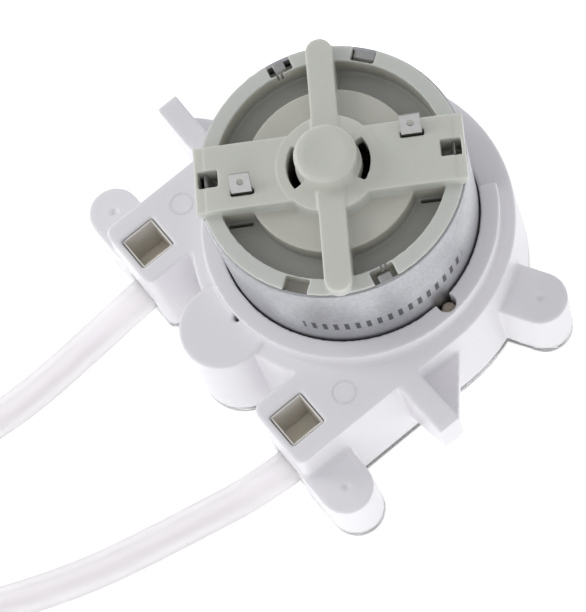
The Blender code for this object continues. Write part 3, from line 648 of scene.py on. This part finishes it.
# ---------------------------------------------------------------- camera and light
@dataclass
class Studio:
    """Camera, lights and the pale floor.

    Attributes:
        eye: the camera's place in millimetres.
        right: the camera's right direction.
        up: the camera's up direction.
        back: the direction from the object to the camera.
        lens: focal length for the sensor.
        sensor: the sensor's width.
        sky: colour of the surroundings.
        sky_strength: how bright they are.
        floor_reach: half the floor's side.
        floor_glow: how much light the floor gives off.
    """

    eye: Point = (103.61, -36.35, 270.605)
    right: Point = (0.61008, 0.77475, -0.16602)
    up: Point = (-0.70376, 0.62612, 0.33571)
    back: Point = (0.36404, -0.08797, 0.92722)
    lens: float = 131.8
    sensor: float = 36.0
    sky: Colour = (0.97, 0.97, 1.0)
    sky_strength: float = 0.64
    floor_reach: float = 3000.0
    floor_glow: float = 0.6

    def place_camera(self) -> None:
        """Create the scene's camera."""
        data = bpy.data.cameras.new("studio_camera")
        data.lens = self.lens
        data.sensor_width = self.sensor
        data.clip_start = 0.01
        data.clip_end = 10.0
        camera = bpy.data.objects.new("studio_camera", data)
        bpy.context.scene.collection.objects.link(camera)
        columns = Matrix((self.right, self.up, self.back)).transposed().to_4x4()
        camera.matrix_world = Matrix.Translation(Vector(self.eye) * MM) @ columns
        bpy.context.scene.camera = camera

    def light_room(self) -> None:
        """Add the soft lights, the white surroundings and the floor."""
        scene = bpy.context.scene
        scene.view_settings.view_transform = "Standard"
        world = bpy.data.worlds.new("studio_world")
        world.use_nodes = True
        background = world.node_tree.nodes["Background"]
        background.inputs["Color"].default_value = (*self.sky, 1.0)
        background.inputs["Strength"].default_value = self.sky_strength
        scene.world = world
        self._soft_box("key_light", (-420.0, -330.0, 360.0), 280.0, 0.95)
        self._soft_box("fill_light", (240.0, -260.0, 160.0), 220.0, 0.12)
        self._floor()

    @staticmethod
    def _soft_box(name: str, place: Point, side: float, power: float) -> None:
        """Add a square light that faces the pump.

        Args:
            name: the light's name.
            place: where it hangs, in millimetres.
            side: its side, in millimetres.
            power: its power in watts.
        """
        data = bpy.data.lights.new(name, "AREA")
        data.shape = "SQUARE"
        data.size = side * MM
        data.energy = power
        lamp = bpy.data.objects.new(name, data)
        lamp.location = Vector(place) * MM
        lamp.rotation_euler = (-Vector(place)).to_track_quat("-Z", "Y").to_euler()
        bpy.context.scene.collection.objects.link(lamp)

    def _floor(self) -> None:
        """Lay the white floor that the pump stands on."""
        reach = self.floor_reach
        corners = [(reach, reach), (-reach, reach), (-reach, -reach), (reach, -reach)]
        shape = bmesh.new()
        shape.faces.new([shape.verts.new((x, y, -0.02)) for x, y in corners])
        floor = to_object("studio_floor", shape)
        material = bpy.data.materials.new("floor_white")
        material.use_nodes = True
        shader = material.node_tree.nodes["Principled BSDF"]
        shader.inputs["Base Color"].default_value = (0.93, 0.93, 0.93, 1.0)
        shader.inputs["Roughness"].default_value = 0.9
        shader.inputs["Specular IOR Level"].default_value = 0.1
        shader.inputs["Emission Color"].default_value = (1.0, 1.0, 1.0, 1.0)
        shader.inputs["Emission Strength"].default_value = self.floor_glow
        floor.data.materials.append(material)


# ---------------------------------------------------------------- tube ends
LEFT_ROUTE: List[Point] = [
    (-15.3, -22.3, 3.87), (-15.4, -26.0, 3.75), (-15.5, -33.0, 2.4), (-15.1, -40.0, 2.27),
    (-15.0, -45.0, 2.27), (-15.3, -50.0, 2.27), (-16.4, -60.0, 2.27), (-18.9, -71.0, 2.27),
    (-23.0, -82.0, 2.27), (-28.8, -92.5, 2.27), (-36.0, -101.5, 2.27), (-44.0, -109.0, 2.27),
]
RIGHT_ROUTE: List[Point] = [
    (15.35, -22.3, 3.87), (15.2, -26.2, 3.75), (14.2, -31.5, 2.55), (13.1, -36.4, 2.27),
    (11.5, -43.6, 2.27), (9.8, -50.4, 2.27), (7.6, -57.0, 2.27), (5.0, -63.3, 2.27),
    (2.2, -70.3, 2.27), (0.2, -77.5, 2.27), (-0.4, -85.0, 2.27), (0.8, -92.5, 2.27),
    (3.8, -99.5, 2.27), (8.4, -105.7, 2.27), (14.0, -111.0, 2.27),
]


@dataclass
class TubeEnd:
    """One free end of the silicone tube.

    Attributes:
        name: the piece's name.
        node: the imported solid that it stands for.
        route: points that the tube's middle passes through.
        outer: outer radius.
        bore: inner radius.
        spacing: distance between the rings of its mesh.
        sides: facets round the tube.
        fineness: steps between two route points on the fine line.
    """

    name: str
    node: str
    route: List[Point]
    outer: float = 2.25
    bore: float = 1.25
    spacing: float = 1.0
    sides: int = 28
    fineness: int = 20

    def centreline(self) -> List[Vector]:
        """Evenly spaced points on a smooth curve through the route.

        Returns:
            The points, in millimetres.
        """
        points = [Vector(point) for point in self.route]
        ends = [points[0] * 2.0 - points[1]] + points + [points[-1] * 2.0 - points[-2]]
        fine: List[Vector] = []
        for before, start, end, after in zip(ends, ends[1:], ends[2:], ends[3:]):
            for step in range(self.fineness):
                t = step / self.fineness
                place = start * 2.0 + (end - before) * t
                place += (before * 2.0 - start * 5.0 + end * 4.0 - after) * t * t
                place += (start * 3.0 - before - end * 3.0 + after) * t * t * t
                fine.append(place * 0.5)
        fine.append(points[-1])
        return self._even(fine)

    def _even(self, fine: List[Vector]) -> List[Vector]:
        """Walk along a fine line and drop points a fixed distance apart.

        Args:
            fine: the fine line.

        Returns:
            The evenly spaced points.
        """
        lengths = [0.0]
        for start, end in zip(fine, fine[1:]):
            lengths.append(lengths[-1] + (end - start).length)
        count = round(lengths[-1] / self.spacing)
        result = []
        index = 0
        for number in range(count + 1):
            goal = lengths[-1] * number / count
            while index < len(fine) - 2 and lengths[index + 1] < goal:
                index += 1
            span = lengths[index + 1] - lengths[index]
            result.append(fine[index].lerp(fine[index + 1], (goal - lengths[index]) / span))
        return result

    def build(self, workshop: Workshop) -> bpy.types.Object:
        """Args:
            workshop: dresses the piece.

        Returns:
            The tube.
        """
        line = self.centreline()
        shape = bmesh.new()
        walls = []
        for index, centre in enumerate(line):
            ahead = line[min(index + 1, len(line) - 1)] - line[max(index - 1, 0)]
            across = Vector((ahead.y, -ahead.x, 0.0)).normalized()
            upward = across.cross(ahead).normalized()
            for radius in (self.outer, self.bore):
                ring = []
                for x, y in ring_points(radius, self.sides):
                    ring.append(shape.verts.new(centre + across * x + upward * y))
                walls.append(ring)
        outer = walls[0::2]
        inner = walls[1::2]
        loop = [*outer, *inner[::-1]]
        for near, far in zip(loop, loop[1:] + loop[:1]):
            for side in range(self.sides):
                after = (side + 1) % self.sides
                shape.faces.new((near[side], near[after], far[after], far[side]))
        tube = to_object(self.name, shape)
        shade(tube)
        workshop.fit(tube, "silicone", [self.node])
        return tube


# ---------------------------------------------------------------- housing
@dataclass
class Housing:
    """The white moulded body, its ejector marks, the plug in its notch and its clear cover.

    Attributes:
        posts: centres of the four screw posts.
        post_top: height of their tops.
        sinks: places of the faint round marks in the flange.
        flange_top: height of the flange.
        mark_radii: inner and outer radius of an ejector pin's raised ring.
        mark_heights: how far that ring reaches below and above the flange.
        mark_sides: its facets.
        plug_place: where the plug in the collar's notch stands.
    """

    posts: Tuple[Pair, ...] = ((24.15, -21.2), (-24.15, -21.2), (21.2, 12.05), (-21.2, 12.05))
    post_top: float = 10.7
    sinks: Tuple[Pair, ...] = ((16.5, -14.4), (-16.5, -14.4))
    flange_top: float = 16.15
    mark_radii: Pair = (1.35, 1.5)
    mark_heights: Pair = (-0.1, 0.035)
    mark_sides: int = 40
    plug_place: Pair = (16.95, 1.8)

    @staticmethod
    def _ring_mark(centre: Pair, top: float, radius: float, depth: float) -> bpy.types.Object:
        """Turn the tool for a shallow ring-shaped groove, as an ejector pin leaves.

        Args:
            centre: the ring's centre.
            top: height of the face that it is cut into.
            radius: the groove's inner radius.
            depth: how deep it is.

        Returns:
            The tool.
        """
        width = 0.22
        profile = [(radius, top - depth), (radius + width, top - depth), (radius + width, top + 1.0),
                   (radius, top + 1.0)]
        return turned("ring_mark", profile, 32, centre)

    def _dimple(self, centre: Pair) -> bpy.types.Object:
        """A small round dent in a post's top."""
        points = [(centre[0] + x, centre[1] + y) for x, y in ring_points(0.5, 24)]
        return extruded("dimple", points, self.post_top - 0.4, self.post_top + 1.0)

    def build(self, workshop: Workshop) -> bpy.types.Object:
        """Build the moulded body with its marks and rounded edges.

        Args:
            workshop: dresses the piece.

        Returns:
            The body.
        """
        body = workshop.copy_solid("rear_housing", "moulded_housing")
        marks = [self._dimple(post) for post in self.posts]
        marks += [self._ring_mark(post, self.post_top, 1.5, 0.12) for post in self.posts]
        carve(body, marks)
        MouldedForm(voxel=0.2, passes=5, keep=0.3).apply(body)
        workshop.fit(body, "white_abs", ["rear_housing"])
        return body

    def build_marks(self, workshop: Workshop) -> bpy.types.Object:
        """Lay the faint raised rings that the mould's ejector pins leave.

        Args:
            workshop: dresses the piece.

        Returns:
            The rings, as one piece.
        """
        inner, outer = self.mark_radii
        low, high = [self.flange_top + offset for offset in self.mark_heights]
        shape = bmesh.new()
        for centre in self.sinks:
            loops = []
            for radius, height in ((inner, low), (inner, high), (outer, high), (outer, low)):
                places = ring_points(1.0, self.mark_sides)
                loop = []
                for x, y in places:
                    loop.append(shape.verts.new((centre[0] + radius * x, centre[1] + radius * y, height)))
                loops.append(loop)
            for near, far in zip(loops, loops[1:] + loops[:1]):
                for side in range(self.mark_sides):
                    after = (side + 1) % self.mark_sides
                    shape.faces.new((near[side], near[after], far[after], far[side]))
        marks = to_object("ejector_marks", shape)
        shade(marks)
        workshop.fit(marks, "white_abs")
        return marks

    def build_notch_plug(self, workshop: Workshop) -> bpy.types.Object:
        """Turn the small brown plug in the collar's round notch.

        Args:
            workshop: dresses the piece.

        Returns:
            The plug.
        """
        profile = [(0.02, 15.4), (0.95, 15.4), (0.95, 16.6), (0.75, 16.9), (0.4, 17.0), (0.02, 17.02)]
        plug = turned("notch_plug", profile, 28, self.plug_place)
        shade(plug)
        workshop.fit(plug, "natural_acetal")
        return plug

    def build_cover(self, workshop: Workshop) -> bpy.types.Object:
        """Build the clear front cover with softened edges.

        Args:
            workshop: dresses the piece.

        Returns:
            The cover.
        """
        cover = workshop.copy_solid("front_cover", "clear_front_cover")
        edge = cover.modifiers.new("edge", "BEVEL")
        edge.width = 0.12 * MM
        edge.segments = 2
        edge.limit_method = "ANGLE"
        edge.angle_limit = math.radians(50.0)
        settle(cover)
        shade(cover)
        workshop.fit(cover, "clear_cover", ["front_cover"])
        return cover


# ---------------------------------------------------------------- motor
@dataclass
class Motor:
    """The round motor: drawn can, crimped rim and moulded end bell.

    Attributes:
        radius: the can's outer radius.
        front: height of its front face.
        rim: height of its open rim.
        corner: radius of its drawn front edge.
        inside: its inner radius.
        seat: inner radius where the bell sits.
        seat_floor: height of that seat's floor.
        mouth: radius of the bearing's opening.
        sheet: thickness of its front wall.
        bell_degrees: direction of the bell's bar.
        tongues: direction and half width of each rim tongue.
    """

    radius: float = 16.0
    front: float = 13.4
    rim: float = 33.0
    corner: float = 1.2
    inside: float = 15.2
    seat: float = 15.5
    seat_floor: float = 28.8
    mouth: float = 3.15
    sheet: float = 0.8
    bell_degrees: float = 56.0
    tongues: Tuple[Pair, ...] = ((166.0, 0.7), (126.0, 1.3), (-14.0, 0.8))

    def build_can(self, workshop: Workshop) -> bpy.types.Object:
        """Turn the drawn steel can, with its rounded front and rolled rim.

        Args:
            workshop: dresses the piece.

        Returns:
            The can.
        """
        radius = self.radius
        corner = self.corner
        profile: List[Pair] = [(self.mouth, self.front + self.sheet), (self.mouth, self.front)]
        for step in range(7):
            angle = math.radians(-90.0 + 15.0 * step)
            profile.append((radius - corner + corner * math.cos(angle),
                            self.front + corner + corner * math.sin(angle)))
        profile += [(radius, self.rim - 0.2), (radius - 0.06, self.rim - 0.06), (radius - 0.2, self.rim)]
        profile += [(self.seat + 0.1, self.rim), (self.seat, self.rim - 0.1)]
        profile.append((self.seat, self.seat_floor))
        profile += [(self.inside, self.seat_floor - 0.3), (self.inside, self.front + self.sheet)]
        can = turned("drawn_can", profile[::-1], 160)
        shade(can, 35.0)
        workshop.fit(can, "zinc_steel", ["motor_can"])
        return can

    def build_crimps(self, workshop: Workshop) -> bpy.types.Object:
        """Make the three rim tongues folded over the bell, and the two in its windows.

        Args:
            workshop: dresses the piece.

        Returns:
            The tongues, as one piece.
        """
        shape = bmesh.new()
        for degrees, half in self.tongues:
            self._tongue(shape, degrees, half, (15.6, 33.0), (14.1, 32.3), 0.42)
        for side in (0.0, 180.0):
            self._tongue(shape, self.bell_degrees + side, 0.85, (14.75, 34.6), (14.2, 31.8), 0.4)
        crimps = to_object("can_crimps", shape)
        bevel = crimps.modifiers.new("edge", "BEVEL")
        bevel.width = 0.08 * MM
        bevel.segments = 2
        settle(crimps)
        shade(crimps)
        workshop.fit(crimps, "bright_steel")
        return crimps

    @staticmethod
    def _tongue(
        shape: bmesh.types.BMesh, degrees: float, half: float, start: Pair, end: Pair, thick: float
    ) -> None:
        """Add a bent strip of sheet between two (radius, height) points.

        Args:
            shape: the bmesh that it joins.
            degrees: its direction round the axis.
            half: half its width.
            start: its outer end.
            end: its inner end.
            thick: the sheet's thickness.
        """
        spin = Matrix.Rotation(math.radians(degrees), 4, "Z")
        middle = (end[0] + 0.35 * (start[0] - end[0]), start[1] - 0.15 * (start[1] - end[1]))
        path = [start, middle, end]
        loops = []
        for radius, height in path:
            corners = [(radius, -half, height), (radius, half, height),
                       (radius - 0.3 * thick, half, height - thick),
                       (radius - 0.3 * thick, -half, height - thick)]
            loops.append([shape.verts.new(spin @ Vector(corner)) for corner in corners])
        for near, far in zip(loops, loops[1:]):
            for side in range(4):
                after = (side + 1) % 4
                shape.faces.new((near[side], near[after], far[after], far[side]))
        shape.faces.new(loops[0][::-1])
        shape.faces.new(loops[-1])

    def build_bell(self, workshop: Workshop) -> bpy.types.Object:
        """Round the edges of the moulded end bell.

        Args:
            workshop: dresses the piece.

        Returns:
            The bell.
        """
        bell = workshop.copy_solid("end_bell", "moulded_end_bell")
        MouldedForm(voxel=0.13, passes=5, keep=0.3).apply(bell)
        workshop.fit(bell, "milky_nylon", ["end_bell"])
        return bell


CARRIED: Dict[str, str] = {
    "cover_screw": "bright_steel",
    "motor_screw": "bright_steel",
    "ring_gear": "natural_acetal",
    "pump_tube": "silicone",
    "tube_clamp": "clamp_acetal",
    "magnet": "ferrite",
    "front_bearing": "bronze",
    "rear_bearing": "bronze",
    "terminal": "bright_steel",
    "brush": "bronze",
    "motor_shaft": "bright_steel",
    "armature_core": "laminated_steel",
    "winding": "copper",
    "commutator": "copper",
    "sun_pinion": "brass",
    "shaft_washer": "natural_acetal",
    "carrier": "white_abs",
    "roller_pin": "bright_steel",
    "planet_roller": "grey_acetal",
}


def dress_carried(workshop: Workshop) -> None:
    """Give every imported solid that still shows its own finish.

    Args:
        workshop: holds the finishes.
    """
    for name, item in workshop.frame["nodes"].items():
        for start, finish in CARRIED.items():
            if name.startswith(start):
                workshop.dress(item, finish)
                log.info("%s: carried over, %s", name, finish)


def main() -> None:
    """Build the studio and every piece of the pump."""
    logging.basicConfig(level=logging.INFO, format="%(message)s")
    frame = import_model()
    workshop = Workshop(frame)
    studio = Studio()
    studio.place_camera()
    TubeEnd("tube_end_left", "tube_tail_left", LEFT_ROUTE).build(workshop)
    TubeEnd("tube_end_right", "tube_tail_right", RIGHT_ROUTE).build(workshop)
    studio.light_room()
    housing = Housing()
    housing.build(workshop)
    housing.build_marks(workshop)
    housing.build_notch_plug(workshop)
    housing.build_cover(workshop)
    motor = Motor()
    motor.build_can(workshop)
    motor.build_crimps(workshop)
    motor.build_bell(workshop)
    dress_carried(workshop)


if __name__ == "__main__":
    main()
